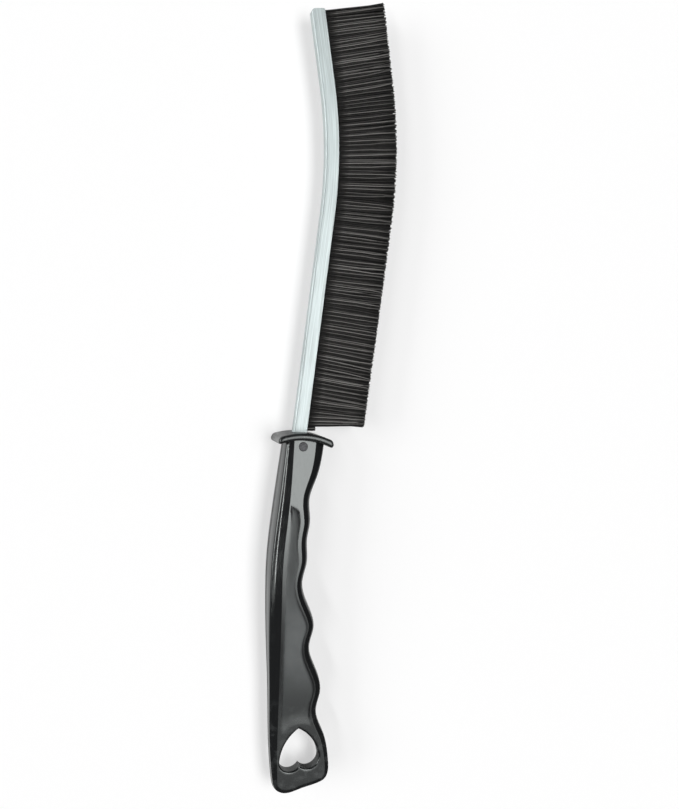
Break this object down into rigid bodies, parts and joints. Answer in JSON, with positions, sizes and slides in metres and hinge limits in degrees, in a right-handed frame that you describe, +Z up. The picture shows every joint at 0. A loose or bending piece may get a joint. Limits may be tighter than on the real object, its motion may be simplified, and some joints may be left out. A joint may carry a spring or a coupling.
{
  "type": "grout brush",
  "caption": "Slim long-reach scrubbing brush: a bent steel strip grips one narrow line of stiff filaments, riveted into a moulded grip with guard, finger grooves and heart-shaped hang hole.",
  "frame": {"origin": "under the middle of the brush's box, on the surface it lies on", "axes": "+X towards the filament tips, +Y towards the toe of the brush, +Z up across its thickness"},
  "size_m": [0.044, 0.2956, 0.0154],
  "materials": {
    "handle_plastic": "glossy black injection moulding",
    "strip_steel": "bright galvanised sheet with fine lengthwise lines",
    "wire_steel": "drawn wire",
    "rivet_steel": "dull grey head",
    "filament": "dark grey extruded filament, trimmed square"
  },
  "bodies": {
    "root": {"handle": "handle_plastic", "strip_channel": "strip_steel", "core_wire": "wire_steel", "rivet": "rivet_steel", "bristle_stub": "filament", "bristle_bundle_01": "filament", "bristle_bundle_02": "filament", "bristle_bundle_03": "filament", "bristle_bundle_04": "filament", "bristle_bundle_05": "filament", "bristle_bundle_06": "filament", "bristle_bundle_07": "filament", "bristle_bundle_08": "filament", "bristle_bundle_09": "filament", "bristle_bundle_10": "filament", "bristle_bundle_11": "filament", "bristle_bundle_12": "filament", "bristle_bundle_13": "filament", "bristle_bundle_14": "filament", "bristle_bundle_15": "filament", "bristle_bundle_16": "filament", "bristle_bundle_17": "filament", "bristle_bundle_18": "filament", "bristle_bundle_19": "filament", "bristle_bundle_20": "filament", "bristle_bundle_21": "filament", "bristle_bundle_22": "filament", "bristle_bundle_23": "filament", "bristle_bundle_24": "filament", "bristle_bundle_25": "filament", "bristle_bundle_26": "filament", "bristle_bundle_27": "filament", "bristle_bundle_28": "filament", "bristle_bundle_29": "filament", "bristle_bundle_30": "filament", "bristle_bundle_31": "filament", "bristle_bundle_32": "filament", "bristle_bundle_33": "filament", "bristle_bundle_34": "filament", "bristle_bundle_35": "filament", "bristle_bundle_36": "filament", "bristle_bundle_37": "filament", "bristle_bundle_38": "filament", "bristle_bundle_39": "filament", "bristle_bundle_40": "filament"}
  },
  "joints": []
}
